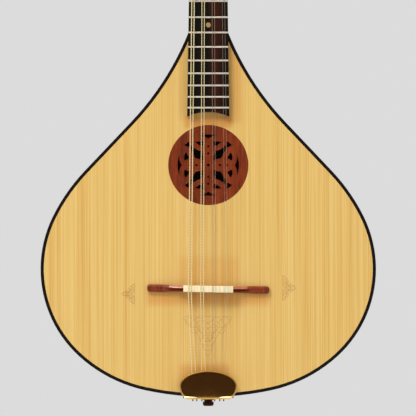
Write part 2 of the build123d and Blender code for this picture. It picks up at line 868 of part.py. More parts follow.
with BuildPart() as tailpiece_base:
    with BuildSketch(front_plane(0)) as plate:
        with Locations((0, (tail_plate_top - tail_plate_thickness) / 2)):
            Rectangle(tail_plate_width, tail_plate_top + tail_plate_thickness)
        fillet(plate.vertices().group_by(Axis.Y)[-1], radius=9)
    extrude(amount=tail_plate_thickness)
    with BuildSketch(Plane.XY):
        with Locations((0, front_y + (tail_flange_depth - tail_plate_thickness) / 2)):
            Rectangle(tail_flange_width, tail_flange_depth + tail_plate_thickness)
    extrude(amount=-tail_plate_thickness)
    bore(Plane.XY, tail_screw_places, screw_radius, -tail_plate_thickness)
    with BuildSketch(front_plane(tail_plate_thickness)):
        with Locations(*[(x, hook_z) for x in hook_places]):
            Rectangle(hook_width, hook_thickness)
    extrude(amount=hook_height)
    with BuildSketch(front_plane(tail_plate_thickness + hook_height)):
        for x in hook_places:
            with Locations((x, (hook_z + hook_thickness / 2 + hook_tip_z) / 2)):
                Rectangle(hook_width, hook_z + hook_thickness / 2 - hook_tip_z)
    extrude(amount=hook_tip_thickness)
    for sign in (-1, 1):
        for middle in lug_middles:
            with BuildSketch(Plane.YZ.offset(sign * middle)):
                with Locations((hinge_y, hinge_z)):
                    Circle(hinge_knuckle_radius)
                with Locations(((hinge_y + front_y - tail_plate_thickness) / 2, hinge_z)):
                    Rectangle(hinge_height - tail_plate_thickness, 2 * hinge_knuckle_radius)
            extrude(amount=hinge_lug / 2, both=True)
    hinge_bore(hinge_pin_radius)
save(tailpiece_base, "tailpiece_base")

with BuildPart() as tailpiece_screws:
    tail_face = Plane((0, 0, -tail_plate_thickness), x_dir=(1, 0, 0), z_dir=(0, 0, -1))
    screw(tail_face, [(x, -y) for x, y in tail_screw_places], screw_length)
save(tailpiece_screws, "tailpiece_screws")

with BuildPart() as tailpiece_hinge_pins:
    for sign in (-1, 1):
        with BuildSketch(Plane.YZ.offset(sign * (hinge_inner_x + hinge_end_x) / 2)):
            with Locations((hinge_y, hinge_z)):
                Circle(hinge_pin_radius)
        extrude(amount=(hinge_end_x - hinge_inner_x) / 2, both=True)
save(tailpiece_hinge_pins, "tailpiece_hinge_pins")

def cover_outline(inset):
    """The cover's outline at its rim, moved inwards."""
    half_base = cover_base_width / 2 - inset
    low = cover_bottom + inset
    with BuildSketch(front_plane(cover_rim_height)) as outline:
        with BuildLine() as edge:
            crown = EllipticalCenterArc(
                (0, cover_waist), cover_width / 2 - inset, cover_top - cover_waist - inset, 0, arc_size=90
            )
            flank = (cover_width / 2 - cover_tuck - inset, (cover_waist + cover_bottom) / 2 - 1.6)
            ThreePointArc(crown @ 0, flank, (half_base, low))
            mirror(edge.line, about=Plane.YZ)
            Line((half_base, low), (-half_base, low))
        make_face()
        fillet(outline.vertices().group_by(Axis.Y)[0], radius=cover_corner_round - inset)
    return outline.sketch


cover_depth = cover_crown_height - cover_rim_height
arm_height = cover_crown_height - cover_wall / 2

with BuildPart() as tailpiece_cover:
    extrude(cover_outline(0), amount=cover_depth)
    fillet(tailpiece_cover.faces().sort_by(Axis.Y)[0].edges(), radius=cover_round)
    extrude(cover_outline(cover_wall), amount=cover_depth - cover_wall, mode=Mode.SUBTRACT)
    with BuildSketch(front_plane(cover_rim_height)):
        with Locations((0, cover_bottom)):
            Rectangle(2 * (hook_places[-1] + hook_width), 4 * cover_wall)
    extrude(amount=cover_notch, mode=Mode.SUBTRACT)
    for sign in (-1, 1):
        with BuildSketch(Plane.YZ.offset(sign * knuckle_x)):
            with Locations((hinge_y, hinge_z)):
                Circle(hinge_knuckle_radius - side_play)
            with Locations(((hinge_y + front_y - arm_height) / 2, hinge_z)):
                Rectangle(arm_height - hinge_height, 2 * (hinge_knuckle_radius - side_play))
        extrude(amount=hinge_knuckle / 2, both=True)
    hinge_bore(hinge_pin_radius + hinge_play)
save(tailpiece_cover, "tailpiece_cover")

with BuildPart() as end_pin:
    with BuildSketch(Plane.XZ):
        with BuildLine():
            Polyline(
                (0, pin_shank_length),
                (pin_shank_radius, pin_shank_length),
                (pin_shank_radius, 0),
                (pin_collar_radius, 0),
                (pin_collar_radius, -pin_collar_length),
                (pin_neck_radius, -pin_collar_length),
                (pin_neck_radius, pin_head_length - pin_reach),
                (pin_head_radius, pin_head_length - pin_reach),
                (pin_head_radius, pin_edge - pin_reach),
                (pin_head_radius - pin_edge, -pin_reach),
                (0, -pin_reach),
                close=True,
            )
        make_face()
    revolve(axis=Axis.Z)
save(end_pin, "end_pin")

# ---- Strings ---------------------------------------------------------------------------------
# Each string leaves its hook, bends over the saddle and the nut, and goes once round its post,
# level with the head; further turns lie above it. The middle strings reach the furthest posts.
post_of_string = (0, 1, 2, 3, 3, 2, 1, 0)
bend_radius = 6.0


def string_route(number):
    """A string's path, its radius and its post's place on the head."""
    radius = string_radii[number]
    side = -1 if number < 4 else 1
    centre = (side * post_x, post_rows[post_of_string[number]])
    wrap = post_radius + radius + post_wrap_gap
    loop_end = hook_z + hook_loop_radius + 1.3 * radius
    hook = Vector(hook_places[number], front_y - hook_string_height, loop_end)
    saddle_level = saddle_top + radius + string_gap
    saddle_point = BRIDGE.from_local_coords((bridge_places[number], -saddle_width / 2, saddle_level))
    nut_level = nut_string_height + radius + string_gap / 2
    nut_point = Vector(nut_places[number], front_y - nut_level, head_z + nut_lean)
    local_nut = HEAD.to_local_coords(nut_point)
    toward = Vector(centre[0] - local_nut.X, centre[1] - local_nut.Y)
    reach = math.sqrt(toward.length**2 - wrap**2)
    swing = math.degrees(math.asin(wrap / toward.length))
    direction = toward.normalized().rotate(Axis.Z, side * swing)
    touch_local = Vector(local_nut.X, local_nut.Y) + direction * reach
    touch = HEAD.from_local_coords((touch_local.X, touch_local.Y, local_nut.Z))
    run = FilletPolyline(hook, saddle_point, nut_point, touch, radius=bend_radius)
    centre_point = HEAD.from_local_coords((centre[0], centre[1], local_nut.Z))
    ring_plane = Plane(centre_point, x_dir=touch - centre_point, z_dir=HEAD.z_dir)
    turn = ring_plane * CenterArc((0, 0), wrap, 0, -side * wrap_sweep)
    return run, turn, centre_point, wrap


routes = [string_route(number) for number in range(len(string_radii))]

for name, numbers in (("wound_strings", range(4)), ("plain_strings", range(4, 8))):
    with BuildPart() as strings:
        for number in numbers:
            radius = string_radii[number]
            run, turn, centre_point, wrap = routes[number]
            with BuildLine() as path:
                add(run)
                add(turn)
            with BuildSketch(Plane(run @ 0, z_dir=run % 0)):
                Circle(radius)
            sweep(path=path.wire())
            for level in range(1, wrap_count):
                lift = HEAD.z_dir * level * (2 * radius + wrap_rise)
                with BuildSketch(Plane(centre_point + lift, x_dir=HEAD.x_dir, z_dir=HEAD.y_dir)):
                    with Locations((wrap, 0)):
                        Circle(radius)
                revolve(axis=Axis(centre_point, HEAD.z_dir))
            hook_centre = Vector(hook_places[number], front_y - hook_string_height, hook_z)
            with BuildSketch(Plane(hook_centre, x_dir=(1, 0, 0), z_dir=(0, 0, 1))):
                with Locations((hook_loop_radius, 0)):
                    Circle(radius)
            revolve(axis=Axis(hook_centre, (0, 1, 0)))
    save(strings, name)
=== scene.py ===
# %% [markdown]
# # A flat-backed bouzouki
# A bouzouki is a long-necked lute with eight steel strings in four pairs. This lesson dresses a
# finished CAD model of one: the CAD gives every part its true size and place, and Blender gives it
# wood grain, lacquer, polished metal and the small carved and burnt ornaments.

# %% Load the frame
import math
import bmesh
import bpy
from mathutils import Matrix, Vector


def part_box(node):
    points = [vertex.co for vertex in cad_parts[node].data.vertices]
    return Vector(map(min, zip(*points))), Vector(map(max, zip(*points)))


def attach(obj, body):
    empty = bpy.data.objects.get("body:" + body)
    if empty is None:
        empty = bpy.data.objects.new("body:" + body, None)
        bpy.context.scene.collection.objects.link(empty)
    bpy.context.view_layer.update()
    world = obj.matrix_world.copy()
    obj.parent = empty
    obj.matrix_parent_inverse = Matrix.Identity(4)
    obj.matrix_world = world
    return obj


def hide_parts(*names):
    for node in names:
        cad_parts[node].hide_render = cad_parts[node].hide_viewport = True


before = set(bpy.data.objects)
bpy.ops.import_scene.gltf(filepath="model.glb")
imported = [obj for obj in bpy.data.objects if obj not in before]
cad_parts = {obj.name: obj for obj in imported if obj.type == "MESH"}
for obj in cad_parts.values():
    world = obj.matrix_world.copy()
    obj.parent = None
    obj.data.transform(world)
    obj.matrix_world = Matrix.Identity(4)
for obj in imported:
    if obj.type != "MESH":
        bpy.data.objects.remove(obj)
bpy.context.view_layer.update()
MM = 0.001

# %% [markdown]
# Colours are picked as sRGB hex values, the way a paint chart gives them, but a shader works in
# linear light. One function turns them. Another adds a shader node with its settings and links, so
# each material below reads as a list of steps.


# %% Colour and node helpers
def linear(hex_value):
    """An sRGB hex colour as linear RGBA."""
    parts = [int(hex_value[i : i + 2], 16) / 255 for i in (1, 3, 5)]
    return tuple([p / 12.92 if p <= 0.04045 else ((p + 0.055) / 1.055) ** 2.4 for p in parts] + [1.0])


def add_node(tree, kind, settings=None, **links):
    """Add a node: settings are properties or input values, links join inputs to other outputs."""
    made = tree.nodes.new(kind)
    for name, value in (settings or {}).items():
        if hasattr(made, name):
            setattr(made, name, value)
        else:
            made.inputs[int(name[1:]) if name[0] == "#" else name].default_value = value
    for name, source in links.items():
        key = int(name[1:]) if name[1:].isdigit() else name.replace("_", " ")
        tree.links.new(source, made.inputs[key])
    return made


def ramp(tree, source, stops):
    """A colour ramp with (place, hex colour or number) stops."""
    made = add_node(tree, "ShaderNodeValToRGB", i0=source)
    elements = made.color_ramp.elements
    while len(elements) < len(stops):
        elements.new(0.5)
    for element, (place, value) in zip(elements, stops):
        element.position = place
        element.color = linear(value) if isinstance(value, str) else (value, value, value, 1.0)
    return made.outputs["Color"]


def new_material(name, **sockets):
    """A material with a Principled shader, object coordinates and constant values on its sockets."""
    material = bpy.data.materials.new(name)
    material.use_nodes = True
    tree = material.node_tree
    shader = tree.nodes["Principled BSDF"]
    for socket, value in sockets.items():
        shader.inputs[socket.replace("_", " ")].default_value = value
    place = add_node(tree, "ShaderNodeTexCoord").outputs["Object"]
    return material, tree, shader, place


def stretched(tree, place, per_mm_x, per_mm_y, per_mm_z, rotation=(0, 0, 0)):
    """Object coordinates scaled to a pattern's repeats per millimetre along each axis."""
    settings = {"Scale": (per_mm_x / MM, per_mm_y / MM, per_mm_z / MM), "Rotation": rotation}
    return add_node(tree, "ShaderNodeMapping", settings, Vector=place).outputs[0]


def bump_onto(tree, shader, height, distance_mm, strength=1.0):
    """Raise a shader's surface by a pattern, with the relief's depth in millimetres."""
    settings = {"Strength": strength, "Distance": distance_mm * MM}
    bump = add_node(tree, "ShaderNodeBump", settings, Height=height)
    tree.links.new(bump.outputs[0], shader.inputs["Normal"])


print("linear middle grey", round(linear("#808080")[0], 3))


# %% [markdown]
# ## Camera and light
# A long lens far from the instrument shows it almost without perspective. The camera looks level,
# straight at the soundboard, and is wide enough to take in the body and the lower neck.

# %% Camera
soundboard_low, soundboard_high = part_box("soundboard")
front_y = soundboard_low.y
camera_distance = 8.0
view_width = 0.4462
view_centre = Vector((-0.0003, front_y, 0.2027))
camera_data = bpy.data.cameras.new("catalogue_camera")
camera_data.sensor_width = 36.0
camera_data.lens = 36.0 * camera_distance / view_width
camera = bpy.data.objects.new("catalogue_camera", camera_data)
bpy.context.collection.objects.link(camera)
camera.location = view_centre - Vector((0, camera_distance, 0))
camera.rotation_euler = (math.radians(90), 0, 0)
bpy.context.scene.camera = camera
bpy.context.scene.view_settings.view_transform = "Standard"
print("lens", round(camera_data.lens, 1), "mm")

# %% [markdown]
# The world is a pale grey to the camera, but other rays see a studio: pale walls, a brighter
# ceiling, and a dark space behind the camera. Flat polished gold mirrors that dark space, while
# wires and frets, being round, mirror the walls.

# %% World
world = bpy.data.worlds.new("studio_room")
world.use_nodes = True
bpy.context.scene.world = world
room = world.node_tree
room.nodes.clear()
direction = add_node(room, "ShaderNodeTexCoord").outputs["Generated"]
split = add_node(room, "ShaderNodeSeparateXYZ", i0=direction)
halved = {"operation": "MULTIPLY_ADD", "#1": 0.5, "#2": 0.5}
height = add_node(room, "ShaderNodeMath", halved, i0=split.outputs["Z"])
WALL_COLOURS = [(0.0, "#94887c"), (0.45, "#a59988"), (0.6, "#c8bbaa"), (0.8, "#fcf0e2")]
walls = ramp(room, height.outputs[0], WALL_COLOURS)
facing = {"operation": "DOT_PRODUCT", "#1": (0, -1, 0)}
toward_camera = add_node(room, "ShaderNodeVectorMath", facing, i0=direction)
behind_camera = ramp(room, toward_camera.outputs["Value"], [(0.84, 0.0), (0.95, 1.0)])
dark_space = {"data_type": "RGBA", "#7": linear("#3f3034")}
studio = add_node(room, "ShaderNodeMix", dark_space, i0=behind_camera, i6=walls)
dim_room = add_node(room, "ShaderNodeBackground", {"Strength": 0.955}, Color=studio.outputs[2])
backdrop = add_node(room, "ShaderNodeBackground", {"Color": linear("#dcdcdc"), "Strength": 1.0})
seen = add_node(room, "ShaderNodeLightPath").outputs["Is Camera Ray"]
mix = add_node(room, "ShaderNodeMixShader", i0=seen, i1=dim_room.outputs[0], i2=backdrop.outputs[0])
add_node(room, "ShaderNodeOutputWorld", i0=mix.outputs[0])
print("world", world.name)

# %% [markdown]
# Three large soft lights give the shape: a key from the upper left, a weak fill from the right and
# one from behind for the back. A wide pale floor lies well below the end pin.


# %% Lights and floor
def soft_light(name, place, aim, side, watts):
    """A square studio light that looks at a point."""
    data = bpy.data.lights.new(name, "AREA")
    data.shape = "RECTANGLE"
    data.size = side
    data.size_y = side
    data.energy = watts
    data.color = (0.94, 0.98, 1.0)
    light = bpy.data.objects.new(name, data)
    bpy.context.collection.objects.link(light)
    light.location = place
    light.rotation_euler = (Vector(aim) - Vector(place)).to_track_quat("-Z", "Y").to_euler()
    return light


middle = (0, 0, 0.3)
soft_light("key_softbox", (-0.9, -1.3, 2.0), middle, 0.8, 36)
soft_light("fill_softbox", (1.6, -1.6, 0.7), middle, 1.2, 5)
soft_light("rear_softbox", (0.6, 1.8, 1.2), middle, 1.4, 22)

floor_radius = 1.8
floor_level = -0.30
floor_mesh = bpy.data.meshes.new("studio_floor")
floor_bm = bmesh.new()
bmesh.ops.create_circle(floor_bm, cap_ends=True, segments=64, radius=floor_radius)
bmesh.ops.translate(floor_bm, verts=floor_bm.verts, vec=(0, 0, floor_level))
floor_bm.to_mesh(floor_mesh)
floor_bm.free()
studio_floor = bpy.data.objects.new("studio_floor", floor_mesh)
bpy.context.collection.objects.link(studio_floor)
floor_paint, _, floor_shader, _ = new_material("matt_floor_paint", Roughness=0.8)
floor_shader.inputs["Base Color"].default_value = linear("#d2d6dd")
floor_mesh.materials.append(floor_paint)
print("floor radius", floor_radius)

# %% [markdown]
# ## Spruce for the soundboard
# A soundboard is quarter-sawn spruce, so its yearly rings show as straight fine lines up the board,
# one or two millimetres apart, under thin lacquer. Noise stretched a hundred times along the board
# gives such lines without repeating, and a second, broader noise varies the tone as real boards do.


# %% Wood materials
def wood(name, colours, ring_mm, length_mm, roughness, coat, relief_mm, blend=0.38, shine=0.3):
    """A planed wood whose rings run along Z and vary across X, with pores as a fine relief."""
    varnish = {"Coat_Weight": coat, "Coat_Roughness": 0.12, "Coat_IOR": 1.5}
    material, tree, shader, place = new_material(
        name, Roughness=roughness, Specular_IOR_Level=shine, **varnish
    )
    rings_place = stretched(tree, place, 1 / ring_mm, 0.35 / ring_mm, 1 / length_mm)
    fine = {"Scale": 1.0, "Detail": 3.0, "Roughness": 0.62}
    rings = add_node(tree, "ShaderNodeTexNoise", fine, Vector=rings_place)
    broad_place = stretched(tree, place, 0.12 / ring_mm, 0.05 / ring_mm, 0.16 / length_mm)
    soft = {"Scale": 1.0, "Detail": 2.0, "Distortion": 0.4}
    broad = add_node(tree, "ShaderNodeTexNoise", soft, Vector=broad_place)
    blending = {"data_type": "FLOAT", "#0": blend}
    blended = add_node(tree, "ShaderNodeMix", blending, i2=rings.outputs[0], i3=broad.outputs[0])
    dark, middle, light = colours
    colour = ramp(tree, blended.outputs[0], [(0.32, dark), (0.48, middle), (0.64, light)])
    tree.links.new(colour, shader.inputs["Base Color"])
    pores_place = stretched(tree, place, 2.2 / ring_mm, 2.2 / ring_mm, 2.0 / length_mm)
    pores = add_node(tree, "ShaderNodeTexNoise", {"Scale": 1.0, "Detail": 2.0}, Vector=pores_place)
    bump_onto(tree, shader, pores.outputs[0], relief_mm, 0.5)
    return material


SPRUCE_COLOURS = ("#d7a554", "#e6be6d", "#efcf84")
# paler rosewood, a painted highlight for the lit slopes of the bridge
LIT_BEVEL_COLOURS = ("#a55c3c", "#b56e4c", "#c58361")
ROSEWOOD_COLOURS = ("#4a1504", "#792b08", "#963c0d")
MAHOGANY_COLOURS = ("#3c150a", "#5d2412", "#77351a")
NECK_COLOURS = ("#4a1e0e", "#6b3018", "#834222")
INNER_COLOURS = ("#c09a62", "#d6b47c", "#e2c690")
EBONY_COLOURS = ("#0f0c0a", "#1b1714", "#2c211a")
DARK_COLOURS = ("#190601", "#2a0b03", "#3d1206")
# the soundboard, pale gold with fine straight lines
spruce = wood("quarter_sawn_spruce", SPRUCE_COLOURS, 1.0, 300, 0.46, 0.3, 0.04, blend=0.28)
# the bridge's sloping upper faces, shinier, and painted paler as a painted highlight from the light above
lit_bevel_rosewood = wood("rosewood_bevel_painted_highlight", LIT_BEVEL_COLOURS, 0.9, 14, 0.34, 0.3, 0.04)
# the rose and bridge, a warm red-brown with short dark flecks
rosewood = wood("carved_rosewood", ROSEWOOD_COLOURS, 0.9, 14, 0.46, 0.06, 0.06)
# back and sides under a deep glossy lacquer
mahogany = wood("lacquered_mahogany", MAHOGANY_COLOURS, 1.1, 36, 0.30, 0.6, 0.04)
# the neck, rubbed to a satin that a hand slides on
neck_mahogany = wood("satin_neck_mahogany", NECK_COLOURS, 1.0, 40, 0.42, 0.2, 0.04)
# linings, blocks and braces, bare inside the body
bare_spruce = wood("bare_inner_spruce", INNER_COLOURS, 1.6, 90, 0.62, 0.0, 0.06)
# the head's face, nearly black with a soft oiled shine
ebony = wood("oiled_ebony", EBONY_COLOURS, 0.8, 60, 0.34, 0.15, 0.03)
# the end pin, turned and left almost without shine
dark_rosewood = wood("dark_turned_rosewood", DARK_COLOURS, 0.9, 14, 0.45, 0.0, 0.04, shine=0.12)
print("woods", [m.name for m in (spruce, rosewood, mahogany, neck_mahogany, bare_spruce, ebony)])

# %% [markdown]
# Painted shade: the board's colour is darkened to orange round the bridge, above the tailpiece,
# and beside and below the fretboard, where soft shadows fall. Each such patch is a soft-edged box
# in which the wood's colour is multiplied by a warm tint.

# %% Painted warm shade
spruce_tree = spruce.node_tree
spruce_shader = spruce_tree.nodes["Principled BSDF"]
spruce_place = spruce_tree.nodes["Texture Coordinate"].outputs["Object"]
axes = add_node(spruce_tree, "ShaderNodeSeparateXYZ", i0=spruce_place)
# the warm tint of the painted shade
WARM_SHADE_TINT = linear("#f2d0b4")
# painted shadow patches: middle x and z, half width and height and softness in millimetres, then strength
WARM_SHADE_PATCHES = [
    (0, 107, 60, 3, 11, 0.75),
    (0, 136, 26, 8, 12, 0.35),
    (-4, 24, 22, 6, 9, 0.6),
    (27, 345, 4, 46, 9, 0.45),
    (-26, 345, 3, 46, 5, 0.25),
    (0, 295, 22, 4, 6, 0.9),
]


def soft_span(output, middle_mm, half_mm, soft_mm):
    """A factor of one inside a span of one axis that falls softly to nothing outside it."""
    to_middle = {"operation": "SUBTRACT", "#1": middle_mm * MM}
    offset = add_node(spruce_tree, "ShaderNodeMath", to_middle, i0=output)
    away = add_node(spruce_tree, "ShaderNodeMath", {"operation": "ABSOLUTE"}, i0=offset.outputs[0])
    fall = {"From Min": half_mm * MM, "From Max": (half_mm + soft_mm) * MM, "To Min": 1.0, "To Max": 0.0}
    fall["interpolation_type"] = "SMOOTHSTEP"
    return add_node(spruce_tree, "ShaderNodeMapRange", fall, i0=away.outputs[0]).outputs[0]


colour = spruce_shader.inputs["Base Color"].links[0].from_socket
# each patch multiplies the painted shade into the board's colour
for x, z, half_x, half_z, soft, strength in WARM_SHADE_PATCHES:
    across = soft_span(axes.outputs["X"], x, half_x, soft)
    along = soft_span(axes.outputs["Z"], z, half_z, soft)
    both = add_node(spruce_tree, "ShaderNodeMath", {"operation": "MULTIPLY"}, i0=across, i1=along)
    weaker = {"operation": "MULTIPLY", "#1": strength}
    amount = add_node(spruce_tree, "ShaderNodeMath", weaker, i0=both.outputs[0])
    tinting = {"data_type": "RGBA", "blend_type": "MULTIPLY", "#7": WARM_SHADE_TINT}
    tint = add_node(spruce_tree, "ShaderNodeMix", tinting, i0=amount.outputs[0], i6=colour)
    colour = tint.outputs[2]
spruce_tree.links.new(colour, spruce_shader.inputs["Base Color"])
print("painted shade patches", len(WARM_SHADE_PATCHES))

# %% [markdown]
# ## The fretboard's streak
# Ebony is rarely black all over. This board has a red-brown streak a little right of the middle,
# wavering along its length, so its colour mixes two woods by the distance from that line.

# %% Fretboard ebony
streaked_ebony, tree, shader, place = new_material(
    "streaked_ebony", Roughness=0.5, Specular_IOR_Level=0.15
)
grain_place = stretched(tree, place, 0.9, 0.5, 0.02)
grain = add_node(tree, "ShaderNodeTexNoise", {"Scale": 1.0, "Detail": 4.0}, Vector=grain_place)
base = ramp(tree, grain.outputs[0], [(0.3, "#080604"), (0.55, "#0f0b08"), (0.75, "#1b120c")])
waver_place = stretched(tree, place, 0.002, 0.002, 0.012)
waver = add_node(tree, "ShaderNodeTexNoise", {"Scale": 1.0, "Detail": 2.0}, Vector=waver_place)
across = add_node(tree, "ShaderNodeSeparateXYZ", i0=place)
waver_depth = {"operation": "MULTIPLY", "#1": -0.016}
shifted = add_node(tree, "ShaderNodeMath", waver_depth, i0=waver.outputs[0])
offset_x = add_node(tree, "ShaderNodeMath", i0=across.outputs[0], i1=shifted.outputs[0])
distance = add_node(tree, "ShaderNodeMath", {"operation": "ABSOLUTE"}, i0=offset_x.outputs[0])
streak_fall = {"From Min": 0.0, "From Max": 9.0 * MM, "To Min": 0.85, "To Max": 0.0}
share = add_node(tree, "ShaderNodeMapRange", streak_fall, i0=distance.outputs[0])
streak = ramp(tree, grain.outputs[0], [(0.3, "#2b0e04"), (0.6, "#471b0a"), (0.8, "#5d2d15")])
mixed = add_node(tree, "ShaderNodeMix", {"data_type": "RGBA"}, i0=share.outputs[0], i6=base, i7=streak)
tree.links.new(mixed.outputs[2], shader.inputs["Base Color"])
bump_onto(tree, shader, grain.outputs[0], 0.03, 0.4)
print("fretboard wood", streaked_ebony.name)

# %% [markdown]
# ## Metals, bone and plastic
# Gold plate and nickel silver are polished, so their look comes from what they mirror; a faint
# uneven relief keeps the highlights from being perfect. Bone is pale with soft darker flecks and
# lets a little light in. Bindings and buttons are moulded plastic.


# %% Metal, bone and plastic materials
def polished(name, colour, roughness, wear_mm, metallic=1.0, **sockets):
    """A polished surface with a faint broad unevenness in its shine."""
    material, tree, shader, place = new_material(name, Metallic=metallic, **sockets)
    shader.inputs["Base Color"].default_value = linear(colour)
    cloud_place = stretched(tree, place, 1 / wear_mm, 1 / wear_mm, 1 / wear_mm)
    cloud = add_node(tree, "ShaderNodeTexNoise", {"Scale": 1.0, "Detail": 3.0}, Vector=cloud_place)
    spread = {"To Min": roughness * 0.7, "To Max": roughness * 1.4}
    shine = add_node(tree, "ShaderNodeMapRange", spread, i0=cloud.outputs[0])
    tree.links.new(shine.outputs[0], shader.inputs["Roughness"])
    bump_onto(tree, shader, cloud.outputs[0], 0.01, 0.25)
    return material


# a mirror for the cover's face and the tuners
gold = polished("polished_gold_plate", "#e9b85a", 0.12, 4.0)
# the cover's edge, an even line of gold round the dark mirror
brushed_gold = polished("brushed_gold_edge", "#eabb5e", 0.36, 4.0)
# the two rolled corners, satin gold painted paler, nearly cream, as a painted highlight where they catch
# the light
painted_highlight_gold = polished("satin_gold_ridge_painted_highlight", "#ffe7a2", 0.38, 4.0)
# small metal parts, each with its own tint and shine
brass = polished("turned_brass", "#d8ab5c", 0.25, 2.0)
fret_wire = polished("nickel_silver_fret_wire", "#f6f0e2", 0.30, 2.0)
steel = polished("plain_steel_string", "#c9b9a8", 0.35, 3.0)
rod_steel = polished("drawn_rod_steel", "#8d8d90", 0.4, 3.0)
# the black line round the body
binding_black = polished(
    "black_celluloid_binding", "#151210", 0.22, 5.0, metallic=0.0, Coat_Weight=0.4
)
# the position dots, a dull tan
horn = polished("pale_horn", "#b9935f", 0.3, 1.5, metallic=0.0)
# the tuners' buttons, pale and glossy
pearl = polished("pearloid_button", "#e9dfc6", 0.2, 3.0, metallic=0.0, Coat_Weight=0.5)
# the saddle and nut, cream with faint upright bands and a little depth
bone = polished(
    "polished_bone", "#fff3d0", 0.3, 1.2, metallic=0.0, Subsurface_Weight=0.15, Subsurface_Scale=0.0015
)
bone_tree = bone.node_tree
bone_place = bone_tree.nodes["Texture Coordinate"].outputs["Object"]
bands_place = stretched(bone_tree, bone_place, 0.45, 0.02, 0.02)
bands = add_node(bone_tree, "ShaderNodeTexNoise", {"Scale": 1.0, "Detail": 2.0}, Vector=bands_place)
bone_colour = ramp(bone_tree, bands.outputs[0], [(0.35, "#f6e2b0"), (0.6, "#fff5d6")])
bone_tree.links.new(bone_colour, bone_tree.nodes["Principled BSDF"].inputs["Base Color"])
print("polished", [m.name for m in (gold, brass, fret_wire, steel, horn, pearl, bone)])

# %% [markdown]
# A wound string is a steel core wrapped in fine bronze wire, and its turns catch the light as tiny
# ridges; here each ridge is both raised and painted paler as a painted highlight. The real turns
# are a fifth of a millimetre, too fine to see here, so the pattern is a coarser one, with ridges
# about three millimetres apart.

# %% Wound string bronze
wound_bronze, tree, shader, place = new_material("wound_bronze_string", Metallic=0.45, Roughness=0.42)
# the wave runs through twenty radians in a unit of its scale, so its ridges are 2 pi times this apart
radian_mm = 0.5
winding = {"wave_type": "BANDS", "bands_direction": "Z", "Scale": 1 / (radian_mm * MM) / 20}
wave = add_node(tree, "ShaderNodeTexWave", winding, Vector=place)
# painted highlight: each turn's crest is a paler cream, along with the bump that raises it
bronze_and_painted_ridge_light = ramp(tree, wave.outputs["Fac"], [(0.0, "#eedc9c"), (1.0, "#fdf3c8")])
tree.links.new(bronze_and_painted_ridge_light, shader.inputs["Base Color"])
bump_onto(tree, shader, wave.outputs["Fac"], 0.03, 0.5)
print("wound string", wound_bronze.name)

# %% [markdown]
# ## Dressing the parts
# Every part of the CAD model gets one of these finishes, so nothing is left plain. The parts that
# repeat for the eight strings are named in a loop.

# %% Give every CAD part its finish
FINISHES = {
    spruce: ["soundboard"],
    rosewood: ["rose", "bridge"],
    dark_rosewood: ["end_pin"],
    mahogany: ["back_plate", "side_bass", "side_treble"],
    neck_mahogany: ["neck"],
    bare_spruce: ["top_linings", "back_linings", "neck_block", "tail_block", "top_braces", "back_braces"],
    ebony: ["head_veneer", "truss_rod_cover"],
    streaked_ebony: ["fretboard"],
    binding_black: ["top_binding", "back_binding"],
    brushed_gold: ["tailpiece_cover"],
    bone: ["saddle", "nut"],
    horn: ["position_dots"],
    fret_wire: ["frets"],
    steel: ["plain_strings"],
    wound_bronze: ["wound_strings"],
    rod_steel: ["truss_rod"],
    brass: ["truss_rod_nut"],
    gold: [
        "tailpiece_base", "tailpiece_screws", "tailpiece_hinge_pins", "truss_cover_screws",
        "tuner_plate_bass", "tuner_plate_treble", "tuner_plate_screws", "tuner_bushings",
    ],
}
STRINGS = range(1, 9)
FINISHES[gold] += [f"tuner_post_{n}" for n in STRINGS] + [f"worm_shaft_{n}" for n in STRINGS]
FINISHES[pearl] = [f"button_{n}" for n in STRINGS]
finished = 0
for finish, names in FINISHES.items():
    for name in names:
        for material_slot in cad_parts[name].material_slots:
            material_slot.material = finish
            finished += 1
print("finished slots", finished, "of", len(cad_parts))

# %% [markdown]
# ## The rose's carved edges
# The rose is one disc of rosewood, pierced with a knot pattern. Its maker leaves a rounded edge
# along each strap where it meets an opening, so every opening is ringed by a fine line of light.
# Closed curves with a round bevel, sunk halfway into the disc, give these edges, and two circles
# mark the plain rim.

# %% Carved edges of the rose
rose_low, rose_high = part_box("rose")
rose_centre = (rose_low + rose_high) / 2
QUARTER_OPENINGS = [
    [(5.2, 25.4), (14.6, 25.1), (9.6, 21.2), (6.0, 20.4)],
    [(24.2, 14.0), (20.1, 7.4), (25.7, 4.7), (26.0, 9.6)],
    [(19.9, 25.8), (25.6, 21.6), (20.4, 18.3), (19.2, 22.0)],
    [
        (5.7, 3.6), (7.8, 6.1), (13.4, 7.2), (15.4, 10.0), (16.2, 12.8), (18.6, 15.6), (18.9, 18.6),
        (17.8, 21.8), (15.2, 18.2), (11.8, 16.2), (7.3, 14.6), (6.1, 10.0),
    ],
]


def widened(points, margin):
    """A closed outline moved outwards by about a margin, away from its middle."""
    middle_x = sum(x for x, _ in points) / len(points)
    middle_z = sum(z for _, z in points) / len(points)
    moved = []
    for x, z in points:
        away = Vector((x - middle_x, z - middle_z))
        away *= 1 + margin / max(away.length, margin)
        moved.append((middle_x + away.x, middle_z + away.y))
    return moved


def circle_points(radius, count=64):
    """Points round a circle."""
    angles = [2 * math.pi * i / count for i in range(count)]
    return [(radius * math.cos(angle), radius * math.sin(angle)) for angle in angles]


